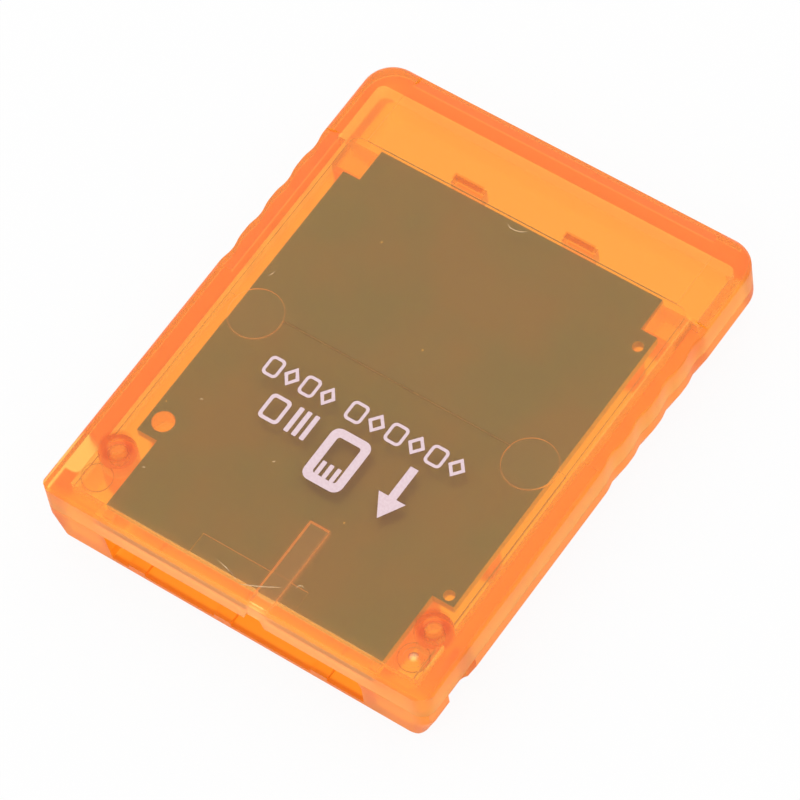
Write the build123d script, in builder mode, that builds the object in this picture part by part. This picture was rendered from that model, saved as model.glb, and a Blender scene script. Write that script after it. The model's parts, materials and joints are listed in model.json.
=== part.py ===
from build123d import *
import os

os.makedirs("parts", exist_ok=True)

# Console memory card, lying flat with its label face up.
# Millimetres. The origin is under the middle of the card, the connector end points to -Y.

# Whole card
card_width = 42.0
card_length = 54.0
card_height = 8.0
upper_height = 3.2  # height of the top shell, down to the joint with the bottom shell
joint_gap = 0.05  # between the rims of both shells

# Outline and outer edges
rear_corner_radius = 3.0
front_corner_radius = 1.4
top_edge_radius = 0.7
bottom_edge_chamfer = 0.5
taper_inset = 1.4  # how far the sides of the bottom shell run in
straight_rim = 1.4  # upright band between the taper and the joint
front_bevel_depth = 0.8  # under the connector end
front_bevel_height = 0.95
front_edge_bevel = 0.25  # along the label edge of the connector end
land_inset = 0.25  # sides of the bottom shell in front of the latch notches
trim_allowance = 4.0  # length that is cut off at the connector end

# Finger grips along both sides
grip_count = 4
grip_pitch = 4.35
grip_depth = 0.22
grip_setback = 17.95  # from the rear to the middle of the grips
grip_chord = 0.28  # half a valley's chord, as a share of the pitch
grip_peak_radius = 4.0
grip_bevel_width = 1.85
grip_bevel_drop = 0.4

# Bevel across the rear of the label face
rear_bevel_side_gap = 4.5  # from each side to the end of the bevel
rear_bevel_width = 1.45
rear_bevel_drop = 0.45

# Walls
side_wall = 2.2
rear_side_wall = 1.4  # thinner top shell side, behind the grips
rear_wall = 2.4
label_wall = 1.2
floor_thickness = 1.4
lower_front_wall = 1.4
inner_corner_radius = 0.8

# Circuit board
board_thickness = 1.0
board_length = 43.6
board_side_gap = 1.55  # to the inside of the side walls
board_front_gap = 0.1  # to the ledge
board_clearance = 0.2
front_tongue_length = 7.7
front_tongue_step = 2.25  # how far the tongue's side lies in
rear_tongue_length = 3.6
rear_tongue_step = 1.8
locating_hole_diameter = 2.2
locating_hole_inset = (1.55, 1.9)  # from the side and from the front shoulder
tooling_hole_diameter = 1.1
tooling_hole_side_inset = 1.0
tooling_hole_front_inset = 0.8  # from the front shoulder
tooling_hole_rear_inset = 1.65  # from the rear shoulder

# Inside of the label wall
ledge_thickness = 1.8
ledge_depth = 2.0  # from the front face to the ledge's inner edge
ledge_gap = 0.05  # between the ledge and the board
lip_thickness = 0.7
pad_thickness = 0.2
pad_side_gap = 0.4  # to the inside of the side walls
pad_corner_radius = 1.0
front_pad_thickness = 0.15
front_pad_setback = 25.8  # from the front face to the end of the thicker pad
pocket_depth = 0.2
pocket_side_gap = 1.8  # to the inside of the side walls
pocket_rear_gap = 0.2  # to the inside of the rear wall
stop_tab_size = (3.4, 0.9)
stop_tab_spacing = 12.2
ejector_mark_diameter = 5.3
ejector_mark_depth = 0.12
ejector_mark_side_gap = 3.8  # from the side walls' inside to the middle of a mark
ejector_mark_offset = 0.67  # from the end of the thicker pad to the middle of a mark
insert_mark_width = 11.4
insert_mark_front_length = 2.15
insert_mark_depth = 0.1

# Key groove and the notch in the lip that it opens into
groove_x = 2.8
groove_width = 2.1
groove_setback = 10.1  # from the front face to the end of the groove
groove_depth = 0.5
lip_notch_offset = 0.35  # from the groove's middle to the notch's
lip_notch_widths = (1.4, 2.2)  # at the top and at the joint
lip_notch_height = 1.2

# Pegs of the bottom shell in sockets of the top shell, beside the board's front tongue
peg_side_gap = 1.6  # from the side walls' inside to the middle of a peg
peg_setback = 6.9  # from the front face
peg_diameter = 1.8
peg_clearance = 0.05
peg_tip_gap = 0.1
socket_diameter = 3.6
socket_bore_depth = 1.65
disc_diameter = 2.9
disc_height = 0.15
disc_setback = 3.8  # from the front face
dimple_ring_diameter = 2.0
dimple_diameter = 1.0
dimple_depth = 0.35

# Connector mouth and what stands on its floor
mouth_left_land = 6.9  # from the card's side to the mouth
mouth_right_land = 7.1
mouth_left_draft = 0.4  # slant of the left side
mouth_key = (0.3, 0.75)  # slanted upper right corner
guide_thickness = 1.0
bay_depth = 9.6  # from the front face
bay_rib_thickness = 1.0
left_bay_width = 1.85
right_bay_width = 4.0
middle_divider_x = -1.5
divider_width = 1.8
divider_height = 0.5

# Board supports and latch notches of the bottom shell
support_diameter = 2.4
support_side_inset = 1.25  # from the board's side
support_front_inset = 6.7  # from the front shoulder
support_rear_inset = 2.6  # from the rear shoulder
locating_boss_rim = 0.5
corner_post_length = 3.0
corner_post_top_gap = 0.1
notch_depth = 1.7
notch_setback = 7.4  # from the front face to the rear of a notch
notch_length = 3.9
notch_corner_radius = 0.8

# Contacts under the board, in the bays between the dividers
contact_width = 1.5
contact_length = 6.6
contact_thickness = 0.1
contact_front_gap = 0.5
contact_pitch = 2.55
contacts_per_bay = (1, 3, 3, 1)

# Memory package
flash_length = 18.4
flash_width = 12.0
flash_thickness = 1.0
flash_standoff = 0.1
flash_chamfer = 0.1
flash_setback = 10.7  # from the board's rear edge to the middle of the package
lead_count = 24
lead_pitch = 0.5
lead_width = 0.22
lead_thickness = 0.15
lead_reach = 0.8
lead_foot = 0.5

# Potting drop over the controller
cover_diameter = 9.0
cover_height = 1.2
cover_rim_chamfer = 0.6
cover_x = -4.0
cover_setback = 16.9  # from the board's front edge to the middle of the drop

# Chip parts
capacitor_size = (2.0, 1.25, 0.85)
resistor_size = (1.6, 0.8, 0.45)
terminal_share = 0.22
terminal_lap = 0.04
chip_gap = 1.5  # between a chip part and the package or drop beside it
chip_pitch = 3.5

# Values that follow from the sizes above
half_width = card_width / 2
inner_half_width = half_width - side_wall
front = -card_length / 2
rear = card_length / 2
parting_height = card_height - upper_height
lower_rim = parting_height - joint_gap
taper_height = parting_height - straight_rim
ceiling = card_height - label_wall
pad_level = ceiling - pad_thickness
front_pad_level = pad_level - front_pad_thickness
ledge_level = card_height - ledge_thickness
ledge_end = front + ledge_depth
lip_inner = front + lip_thickness
grip_half_chord = grip_chord * grip_pitch
grip_radius = (grip_half_chord**2 + grip_depth**2) / (2 * grip_depth)
grip_length = grip_count * grip_pitch
grip_centre = rear - grip_setback
step_y = grip_centre + grip_length / 2
board_top = ledge_level - ledge_gap
board_under = board_top - board_thickness
board_half_width = inner_half_width - board_side_gap
front_tongue_half_width = board_half_width - front_tongue_step
rear_tongue_half_width = board_half_width - rear_tongue_step
board_front = ledge_end + board_front_gap
board_rear = board_front + board_length
board_front_shoulder = board_front + front_tongue_length
board_rear_shoulder = board_rear - rear_tongue_length
locating_hole = (
    -board_half_width + locating_hole_inset[0],
    board_front_shoulder + locating_hole_inset[1],
)
tooling_hole_x = board_half_width - tooling_hole_side_inset
tooling_holes = (
    (tooling_hole_x, board_front_shoulder + tooling_hole_front_inset),
    (tooling_hole_x, board_rear_shoulder - tooling_hole_rear_inset),
)
pad_half_width = inner_half_width - pad_side_gap
front_pad_end = front + front_pad_setback
groove_end = front + groove_setback
peg_spacing = 2 * (inner_half_width - peg_side_gap)
peg_y = front + peg_setback
disc_y = front + disc_setback
mouth_left = mouth_left_land - half_width
mouth_left_foot = mouth_left + mouth_left_draft
mouth_right = half_width - mouth_right_land
bay_end = front + bay_depth
divider_positions = (
    mouth_left_foot + left_bay_width + divider_width / 2,
    middle_divider_x,
    mouth_right - right_bay_width - divider_width / 2,
)
flash_centre = (0, board_rear - flash_setback)
cover_centre = (cover_x, board_front + cover_setback)


def card_outline(level, inset, overrun):
    """Plan outline with the finger grips. Sides and rear lie in by the inset, the front runs on."""
    width = card_width - 2 * inset
    with BuildSketch(Plane.XY.offset(level)) as outline:
        with Locations((0, rear - inset)):
            Rectangle(
                width,
                card_length - inset + overrun,
                align=(Align.CENTER, Align.MAX),
            )
        fillet(outline.vertices().group_by(Axis.Y)[-1], rear_corner_radius - inset)
        fillet(outline.vertices().group_by(Axis.Y)[0], front_corner_radius)
        valley_spacing = width - 2 * grip_depth + 2 * grip_radius
        with Locations((0, grip_centre)):
            with GridLocations(valley_spacing, grip_pitch, 2, grip_count):
                Circle(grip_radius, mode=Mode.SUBTRACT)
        grip_start = grip_centre - grip_length / 2 - grip_depth
        grip_end = grip_centre + grip_length / 2 + grip_depth
        fillet(
            outline.vertices().filter_by_position(Axis.Y, grip_start, grip_end),
            grip_peak_radius,
        )
    return outline.sketch


# Top shell: the label half of the housing
with BuildPart() as top_shell:
    extrude(card_outline(parting_height, 0, trim_allowance), amount=upper_height)
    fillet(top_shell.faces().sort_by(Axis.Z)[-1].edges(), top_edge_radius)
    with BuildSketch(Plane.XY.offset(parting_height)) as front_trim:
        with Locations((0, front)):
            Rectangle(card_width, card_length, align=(Align.CENTER, Align.MIN))
        fillet(front_trim.vertices().group_by(Axis.Y)[0], front_corner_radius)
    extrude(amount=upper_height, mode=Mode.INTERSECT)

    # Bevels along the front edge, across the rear and over the finger grips
    with BuildSketch(Plane.YZ) as edge_bevel:
        with BuildLine():
            Polyline(
                (front - front_edge_bevel, card_height - 2 * front_edge_bevel),
                (front + 2 * front_edge_bevel, card_height + front_edge_bevel),
                (front - front_edge_bevel, card_height + front_edge_bevel),
                close=True,
            )
        make_face()
    extrude(amount=half_width, both=True, mode=Mode.SUBTRACT)
    with BuildSketch(Plane.YZ) as rear_bevel:
        with BuildLine():
            Polyline(
                (rear - rear_bevel_width, card_height),
                (rear + rear_bevel_width, card_height),
                (rear + rear_bevel_width, card_height - 2 * rear_bevel_drop),
                close=True,
            )
        make_face()
    extrude(amount=half_width - rear_bevel_side_gap, both=True, mode=Mode.SUBTRACT)
    with BuildSketch(Plane.XZ.offset(-grip_centre)) as grip_bevels:
        with BuildLine():
            Polyline(
                (half_width - grip_bevel_width, card_height),
                (half_width + grip_bevel_width, card_height),
                (half_width + grip_bevel_width, card_height - 2 * grip_bevel_drop),
                close=True,
            )
        make_face()
        mirror(about=Plane.YZ)
    extrude(amount=grip_length / 2, both=True, mode=Mode.SUBTRACT)

    # Room for the board, wider behind the grips
    with BuildSketch(Plane.XY.offset(parting_height)) as cavity:
        with Locations((0, ledge_end)):
            Rectangle(
                2 * inner_half_width, step_y - ledge_end, align=(Align.CENTER, Align.MIN)
            )
        with Locations((0, step_y)):
            Rectangle(
                card_width - 2 * rear_side_wall,
                rear - rear_wall - step_y,
                align=(Align.CENTER, Align.MIN),
            )
        fillet(cavity.vertices().group_by(Axis.Y)[-1], inner_corner_radius)
    extrude(amount=ceiling - parting_height, mode=Mode.SUBTRACT)
    with BuildSketch(Plane.XY.offset(parting_height)) as tongue_room:
        with Locations((0, lip_inner)):
            Rectangle(
                2 * (front_tongue_half_width + board_clearance),
                ledge_depth - lip_thickness,
                align=(Align.CENTER, Align.MIN),
            )
    extrude(amount=ledge_level - parting_height, mode=Mode.SUBTRACT)

    # Thicker pads over the board and the thin pocket behind it
    with BuildSketch(Plane.XY.offset(pad_level)) as board_pad:
        with Locations((0, ledge_end)):
            Rectangle(
                2 * pad_half_width, board_rear - ledge_end, align=(Align.CENTER, Align.MIN)
            )
        fillet(board_pad.vertices().group_by(Axis.Y)[-1], pad_corner_radius)
    extrude(amount=pad_thickness)
    with BuildSketch(Plane.XY.offset(front_pad_level)) as front_pad:
        with Locations((0, ledge_end)):
            Rectangle(
                2 * pad_half_width, front_pad_end - ledge_end, align=(Align.CENTER, Align.MIN)
            )
    extrude(amount=front_pad_thickness)
    with BuildSketch(Plane.XY.offset(ceiling)) as rear_pocket:
        with Locations((0, board_rear)):
            Rectangle(
                2 * (inner_half_width - pocket_side_gap),
                rear - rear_wall - pocket_rear_gap - board_rear,
                align=(Align.CENTER, Align.MIN),
            )
    extrude(amount=pocket_depth, mode=Mode.SUBTRACT)

    # Stop tabs behind the board
    with BuildSketch(Plane.XY.offset(board_under)) as stop_tabs:
        with Locations((0, board_rear + board_clearance)):
            with GridLocations(stop_tab_spacing, 0, 2, 1):
                Rectangle(*stop_tab_size, align=(Align.CENTER, Align.MIN))
    extrude(amount=ceiling + pocket_depth - board_under)

    # Peg sockets and the raised discs in front of them
    with BuildSketch(Plane.XY.offset(parting_height)) as sockets:
        with Locations((0, peg_y)):
            with GridLocations(peg_spacing, 0, 2, 1):
                Circle(socket_diameter / 2)
    extrude(amount=ceiling - parting_height)
    with BuildSketch(Plane.XY.offset(parting_height)) as socket_bores:
        with Locations((0, peg_y)):
            with GridLocations(peg_spacing, 0, 2, 1):
                Circle(peg_diameter / 2 + peg_clearance)
    extrude(amount=socket_bore_depth, mode=Mode.SUBTRACT)
    with BuildSketch(Plane.XY.offset(front_pad_level - disc_height)) as discs:
        with Locations((0, disc_y)):
            with GridLocations(peg_spacing, 0, 2, 1):
                Circle(disc_diameter / 2)
    extrude(amount=disc_height)
    with BuildSketch(Plane.XY.offset(front_pad_level - disc_height)) as dimple_ring:
        with Locations((peg_spacing / 2, disc_y)):
            Circle(dimple_ring_diameter / 2)
    extrude(amount=disc_height, mode=Mode.SUBTRACT)
    with Locations((peg_spacing / 2, disc_y, front_pad_level)):
        Cone(
            dimple_diameter / 2,
            0,
            dimple_depth,
            align=(Align.CENTER, Align.CENTER, Align.MIN),
            mode=Mode.SUBTRACT,
        )

    # Marks that the ejector pins and a mould insert leave under the label
    with BuildSketch(Plane.XY.offset(front_pad_level)) as ejector_marks:
        with Locations((0, front_pad_end - ejector_mark_offset)):
            with GridLocations(2 * (inner_half_width - ejector_mark_side_gap), 0, 2, 1):
                Circle(ejector_mark_diameter / 2)
    extrude(amount=front_pad_thickness + ejector_mark_depth, mode=Mode.SUBTRACT)
    with BuildSketch(Plane.XY.offset(front_pad_level)) as insert_mark:
        with Locations((0, ledge_end)):
            Rectangle(
                insert_mark_width, insert_mark_front_length, align=(Align.CENTER, Align.MIN)
            )
    extrude(amount=insert_mark_depth, mode=Mode.SUBTRACT)

    # Key groove under the label wall and the notch in the lip
    with BuildSketch(Plane.XY.offset(ledge_level)) as key_groove:
        with Locations((groove_x, lip_inner)):
            Rectangle(groove_width, groove_end - lip_inner, align=(Align.CENTER, Align.MIN))
    extrude(amount=front_pad_level + groove_depth - ledge_level, mode=Mode.SUBTRACT)
    notch_x = groove_x - lip_notch_offset
    notch_top = parting_height + lip_notch_height
    with BuildSketch(Plane.XZ.offset(-front)) as lip_notch:
        with BuildLine():
            Polyline(
                (notch_x - lip_notch_widths[1] / 2, parting_height),
                (notch_x - lip_notch_widths[0] / 2, notch_top),
                (notch_x + lip_notch_widths[0] / 2, notch_top),
                (notch_x + lip_notch_widths[1] / 2, parting_height),
                close=True,
            )
        make_face()
    extrude(amount=-lip_thickness, mode=Mode.SUBTRACT)

# Bottom shell: tapered tub with the connector mouth at its front
with BuildPart() as bottom_shell:
    extrude(card_outline(taper_height, 0, 0), amount=lower_rim - taper_height)
    loft([card_outline(0, taper_inset, 0), card_outline(taper_height, 0, 0)], ruled=True)
    chamfer(bottom_shell.faces().sort_by(Axis.Z)[0].edges(), bottom_edge_chamfer)
    with BuildSketch(Plane.YZ) as front_bevel:
        with BuildLine():
            Polyline(
                (front - front_bevel_depth, 2 * front_bevel_height),
                (front + 2 * front_bevel_depth, -front_bevel_height),
                (front - front_bevel_depth, -front_bevel_height),
                close=True,
            )
        make_face()
    extrude(amount=half_width, both=True, mode=Mode.SUBTRACT)

    # Inside of the tub
    tub_front = front + lower_front_wall
    with BuildSketch(Plane.XY.offset(floor_thickness)) as tub:
        with Locations((0, tub_front)):
            Rectangle(
                2 * inner_half_width,
                rear - rear_wall - tub_front,
                align=(Align.CENTER, Align.MIN),
            )
        fillet(tub.vertices(), inner_corner_radius)
    extrude(amount=lower_rim - floor_thickness, mode=Mode.SUBTRACT)

    # Guide walls of the connector bay and the rib that ends it
    with BuildSketch(Plane.XY.offset(floor_thickness)) as guides:
        guide_length = bay_end + bay_rib_thickness - tub_front
        with Locations((mouth_left, tub_front)):
            Rectangle(guide_thickness, guide_length, align=(Align.MAX, Align.MIN))
        with Locations((mouth_right, tub_front)):
            Rectangle(guide_thickness, guide_length, align=(Align.MIN, Align.MIN))
        with Locations((mouth_left, bay_end)):
            Rectangle(
                mouth_right - mouth_left, bay_rib_thickness, align=(Align.MIN, Align.MIN)
            )
    extrude(amount=board_under - floor_thickness)

    # Mouth in the front wall, keyed at its upper right, and the dividers on its floor
    with BuildSketch(Plane.XZ.offset(-front)) as mouth:
        with BuildLine():
            Polyline(
                (mouth_left_foot, floor_thickness),
                (mouth_right, floor_thickness),
                (mouth_right, lower_rim - mouth_key[1]),
                (mouth_right - mouth_key[0], lower_rim),
                (mouth_left, lower_rim),
                close=True,
            )
        make_face()
    extrude(amount=-lower_front_wall, mode=Mode.SUBTRACT)
    with BuildSketch(Plane.XY.offset(floor_thickness)) as dividers:
        with Locations(*[(x, front) for x in divider_positions]):
            Rectangle(divider_width, bay_depth, align=(Align.CENTER, Align.MIN))
    extrude(amount=divider_height)

    # Pegs for the sockets of the top shell
    with BuildSketch(Plane.XY.offset(floor_thickness)) as peg_posts:
        with Locations((0, peg_y)):
            with GridLocations(peg_spacing, 0, 2, 1):
                Circle(socket_diameter / 2)
    extrude(amount=lower_rim - floor_thickness)
    with BuildSketch(Plane.XY.offset(lower_rim)) as pegs:
        with Locations((0, peg_y)):
            with GridLocations(peg_spacing, 0, 2, 1):
                Circle(peg_diameter / 2)
    extrude(amount=socket_bore_depth - peg_tip_gap)

    # Pillars under the board, the pin for its locating hole and posts in its rear notches
    with BuildSketch(Plane.XY.offset(floor_thickness)) as supports:
        for support_y in (
            board_front_shoulder + support_front_inset,
            board_rear_shoulder - support_rear_inset,
        ):
            with Locations((0, support_y)):
                with GridLocations(2 * (board_half_width - support_side_inset), 0, 2, 1):
                    Circle(support_diameter / 2)
        with Locations(locating_hole):
            Circle(locating_hole_diameter / 2 + locating_boss_rim)
    extrude(amount=board_under - floor_thickness)
    with BuildSketch(Plane.XY.offset(board_under)) as locating_pin:
        with Locations(locating_hole):
            Circle(locating_hole_diameter / 2 - peg_clearance)
    extrude(amount=board_thickness)
    post_inner = rear_tongue_half_width + board_clearance
    with BuildSketch(Plane.XY.offset(floor_thickness)) as corner_posts:
        with Locations((0, board_rear_shoulder + board_clearance)):
            with GridLocations(inner_half_width + post_inner, 0, 2, 1):
                Rectangle(
                    inner_half_width - post_inner,
                    corner_post_length,
                    align=(Align.CENTER, Align.MIN),
                )
    extrude(amount=board_top - corner_post_top_gap - floor_thickness)

    # Latch notches in both sides and the set in lands in front of them
    notch_y = front + notch_setback - notch_length / 2
    with BuildSketch() as notches:
        with Locations((0, notch_y)):
            with GridLocations(card_width, 0, 2, 1):
                RectangleRounded(2 * notch_depth, notch_length, notch_corner_radius)
                Rectangle(
                    2 * land_inset, notch_y - front, align=(Align.CENTER, Align.MAX)
                )
    extrude(amount=lower_rim, mode=Mode.SUBTRACT)

# Circuit board: front tongue, body and rear tongue
with BuildPart() as circuit_board:
    with BuildSketch(Plane.XY.offset(board_under)) as board_plan:
        for half, start, stop in (
            (front_tongue_half_width, board_front, board_front_shoulder),
            (board_half_width, board_front_shoulder, board_rear_shoulder),
            (rear_tongue_half_width, board_rear_shoulder, board_rear),
        ):
            with Locations((0, start)):
                Rectangle(2 * half, stop - start, align=(Align.CENTER, Align.MIN))
        with Locations(locating_hole):
            Circle(locating_hole_diameter / 2, mode=Mode.SUBTRACT)
        with Locations(*tooling_holes):
            Circle(tooling_hole_diameter / 2, mode=Mode.SUBTRACT)
    extrude(amount=board_thickness)

# Contacts under the front tongue, grouped between the dividers
bay_edges = [mouth_left_foot, mouth_right]
for x in divider_positions:
    bay_edges += [x - divider_width / 2, x + divider_width / 2]
bay_edges.sort()
bays = list(zip(bay_edges[0::2], bay_edges[1::2]))
contacts = []
for (bay_start, bay_stop), count in zip(bays, contacts_per_bay):
    bay_centre = (bay_start + bay_stop) / 2
    for index in range(count):
        contact_x = bay_centre + (index - (count - 1) / 2) * contact_pitch
        with BuildPart() as contact:
            with BuildSketch(Plane.XY.offset(board_under - contact_thickness)):
                with Locations((contact_x, board_front + contact_front_gap)):
                    Rectangle(
                        contact_width, contact_length, align=(Align.CENTER, Align.MIN)
                    )
            extrude(amount=contact_thickness)
        contacts.append(contact.part)

# Memory package, hanging from the board by its leads
flash_top = board_under - flash_standoff
flash_middle = flash_top - flash_thickness / 2
with BuildPart() as flash_memory:
    with BuildSketch(Plane.XY.offset(flash_top)):
        with Locations(flash_centre):
            Rectangle(flash_length, flash_width)
    extrude(amount=-flash_thickness)
    chamfer(flash_memory.faces().sort_by(Axis.Z)[0].edges(), flash_chamfer)

# Gull wing leads in two rows, one section for each pair
lead_planes = []
for row in range(lead_count):
    lead_y = flash_centre[1] + (row - (lead_count - 1) / 2) * lead_pitch
    lead_planes.append(Plane((flash_centre[0], lead_y, 0), x_dir=(1, 0, 0), z_dir=(0, -1, 0)))
lead_root = flash_length / 2
lead_tip = lead_root + lead_reach
lead_bend = lead_tip - lead_foot
with BuildPart() as flash_memory_leads:
    with BuildSketch(*lead_planes):
        with BuildLine():
            Polyline(
                (lead_root, flash_middle),
                (lead_bend, flash_middle),
                (lead_bend, board_under),
                (lead_tip, board_under),
                (lead_tip, board_under - lead_thickness),
                (lead_bend + lead_thickness, board_under - lead_thickness),
                (lead_bend + lead_thickness, flash_middle - lead_thickness),
                (lead_root, flash_middle - lead_thickness),
                close=True,
            )
        make_face()
        mirror(about=Plane.YZ)
    extrude(amount=lead_width / 2, both=True)

# Potting drop over the controller
with BuildPart() as controller_cover:
    with BuildSketch(Plane.XY.offset(board_under)):
        with Locations(cover_centre):
            Circle(cover_diameter / 2)
    extrude(amount=-cover_height)
    chamfer(controller_cover.faces().sort_by(Axis.Z)[0].edges(), cover_rim_chamfer)


def chip_part(size, place):
    """Chip part on the underside of the board, with a metal cap round each end."""
    length, width, height = size
    cap = length * terminal_share
    with BuildPart() as chip:
        with BuildSketch(Plane.XY.offset(board_under)):
            with Locations(place):
                Rectangle(length, width)
        extrude(amount=-height)
        with BuildSketch(Plane.XY.offset(board_under)):
            with Locations(place):
                with GridLocations(length - cap, 0, 2, 1):
                    Rectangle(cap, width + 2 * terminal_lap)
        extrude(amount=-height - terminal_lap)
    return chip.part


# Capacitors beside both ends of the package, then a row and a grid of chip parts beside the drop
beside_flash = lead_tip + chip_gap + capacitor_size[0] / 2
beside_cover = cover_centre[0] + cover_diameter / 2 + chip_gap + capacitor_size[0] / 2
capacitor_places = [
    (flash_centre[0] - beside_flash, flash_centre[1]),
    (flash_centre[0] + beside_flash, flash_centre[1]),
    (beside_cover, cover_centre[1] + chip_pitch),
    (beside_cover + chip_pitch, cover_centre[1] + chip_pitch),
]
resistor_places = [
    (beside_cover + column * chip_pitch, cover_centre[1] - row * chip_pitch)
    for row in range(2)
    for column in range(2)
]

named_parts = {
    "top_shell": top_shell.part,
    "bottom_shell": bottom_shell.part,
    "circuit_board": circuit_board.part,
    "flash_memory": flash_memory.part,
    "flash_memory_leads": flash_memory_leads.part,
    "controller_cover": controller_cover.part,
}
for number, contact_part in enumerate(contacts, start=1):
    named_parts[f"contact_{number}"] = contact_part
for number, place in enumerate(capacitor_places, start=1):
    named_parts[f"capacitor_{number}"] = chip_part(capacitor_size, place)
for number, place in enumerate(resistor_places, start=1):
    named_parts[f"resistor_{number}"] = chip_part(resistor_size, place)

for name, solid in named_parts.items():
    solid.label = name
    export_step(solid, f"parts/{name}.step")
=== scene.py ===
# %% [markdown]
# A clear orange memory card, dressed for a product photograph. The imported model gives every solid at
# its real size, so this lesson only adds finishes, print, light and a camera. All lengths here are
# metres, in the same frame as the model: the card lies flat, and its connector end points to -Y. The
# objects of Blender's start-up scene are cleared away first.

# %% load the card
import json
import math

import bpy
from mathutils import Matrix, Vector

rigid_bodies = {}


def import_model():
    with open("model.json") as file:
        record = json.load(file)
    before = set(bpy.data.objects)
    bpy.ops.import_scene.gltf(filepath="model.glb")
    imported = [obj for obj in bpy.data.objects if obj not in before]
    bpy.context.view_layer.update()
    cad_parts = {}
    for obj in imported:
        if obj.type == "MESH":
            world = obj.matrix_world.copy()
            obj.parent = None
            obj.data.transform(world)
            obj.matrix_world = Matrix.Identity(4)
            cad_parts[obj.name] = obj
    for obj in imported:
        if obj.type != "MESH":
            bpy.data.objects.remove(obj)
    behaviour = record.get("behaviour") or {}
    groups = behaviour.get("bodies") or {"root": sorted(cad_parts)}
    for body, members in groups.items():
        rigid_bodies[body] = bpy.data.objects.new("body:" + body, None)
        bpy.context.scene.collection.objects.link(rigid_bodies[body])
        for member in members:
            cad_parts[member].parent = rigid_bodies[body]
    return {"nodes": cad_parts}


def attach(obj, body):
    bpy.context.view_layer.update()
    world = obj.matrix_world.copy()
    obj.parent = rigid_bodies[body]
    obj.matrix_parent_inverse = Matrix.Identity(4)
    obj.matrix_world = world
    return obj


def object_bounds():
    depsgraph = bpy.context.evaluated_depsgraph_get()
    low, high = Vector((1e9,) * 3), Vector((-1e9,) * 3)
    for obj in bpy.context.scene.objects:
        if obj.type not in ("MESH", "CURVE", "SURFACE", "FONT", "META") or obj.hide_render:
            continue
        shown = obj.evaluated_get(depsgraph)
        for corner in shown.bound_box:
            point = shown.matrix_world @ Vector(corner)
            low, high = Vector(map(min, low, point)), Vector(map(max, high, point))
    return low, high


for leftover in list(bpy.data.objects):
    bpy.data.objects.remove(leftover)
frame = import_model()
cad_low, cad_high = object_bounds()
nodes = frame["nodes"]
scene = bpy.context.scene
mm = 0.001
print("card size in mm", [round((high - low) / mm, 2) for low, high in zip(cad_low, cad_high)])

# %% [markdown]
# The picture looks down on the front right corner, with the camera turned a little about its own
# axis. A long lens keeps the card's edges nearly parallel. The camera could be placed by eye, but
# these angles come from a fit of the card's outline, so that the picture and the photograph can be
# laid side by side.

# %% camera
view_azimuth = math.radians(43.946)
view_elevation = math.radians(58.491)
view_roll = math.radians(-10.689)
view_distance = 481.645 * mm
view_offset = (0.99 * mm, -1.224 * mm)
sensor_width = 36.0
lens_in_pixels = 5315.951
picture_width = 800
nearest_seen = 10.0 * mm

toward_camera = Vector((
    math.sin(view_azimuth) * math.cos(view_elevation),
    -math.cos(view_azimuth) * math.cos(view_elevation),
    math.sin(view_elevation),
))
level_right = Vector((math.cos(view_azimuth), math.sin(view_azimuth), 0.0))
level_up = toward_camera.cross(level_right)
camera_right = level_right * math.cos(view_roll) + level_up * math.sin(view_roll)
camera_up = level_up * math.cos(view_roll) - level_right * math.sin(view_roll)
camera_place = toward_camera * view_distance - camera_right * view_offset[0] - camera_up * view_offset[1]

camera_data = bpy.data.cameras.new("product_camera")
camera_data.sensor_width = sensor_width
camera_data.lens = lens_in_pixels / picture_width * sensor_width
camera_data.clip_start = nearest_seen
camera = bpy.data.objects.new("product_camera", camera_data)
turn = Matrix((camera_right, camera_up, toward_camera)).transposed()
camera.matrix_world = Matrix.Translation(camera_place) @ turn.to_4x4()
scene.collection.objects.link(camera)
scene.camera = camera
scene.view_settings.view_transform = "Standard"
print("lens in mm", round(camera_data.lens, 1), "camera at", [round(c, 3) for c in camera_place])


# %% [markdown]
# Every finish is a node tree. Such trees could be wired by hand in the shader editor, but a few small
# helpers keep the cells short. The first ones add a node and set its inputs, by a value or by a link.

# %% nodes and their inputs
def feed(tree, socket, value):
    """Gives a socket a value, or a link when the value is another socket."""
    if isinstance(value, bpy.types.NodeSocket):
        tree.links.new(value, socket)
    else:
        socket.default_value = value


def set_inputs(tree, node, inputs):
    """Feeds a node's inputs by name. Underscores stand for spaces."""
    for name, value in inputs.items():
        feed(tree, node.inputs[name.replace("_", " ")], value)
    return node


def add_node(tree, kind, **inputs):
    """A new node of a kind, with its inputs set."""
    return set_inputs(tree, tree.nodes.new(kind), inputs)


def use_group(tree, group, **inputs):
    """A node that stands for a shared node group."""
    node = tree.nodes.new("ShaderNodeGroup")
    node.node_tree = group
    return set_inputs(tree, node, inputs)


print("helpers for nodes are ready")


# %% [markdown]
# Most masks are sums, products and limits of other masks, and most colours are blends of two. These
# helpers give back the socket that holds the result, so that one line can feed the next.

# %% sums, masks and blends
# A Mix node has sockets for numbers, vectors and colours. These are the places of the colour sockets.
mix_factor = 0
mix_low = 6
mix_high = 7
mix_result = 2


def math_node(tree, operation, *values):
    """The result of a sum, product or comparison of one or two values."""
    node = tree.nodes.new("ShaderNodeMath")
    node.operation = operation
    for socket, value in zip(node.inputs, values):
        feed(tree, socket, value)
    return node.outputs["Value"]


def strongest(tree, masks):
    """One mask that takes the highest of several."""
    total = masks[0]
    for mask in masks[1:]:
        total = math_node(tree, "MAXIMUM", total, mask)
    return total


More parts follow.
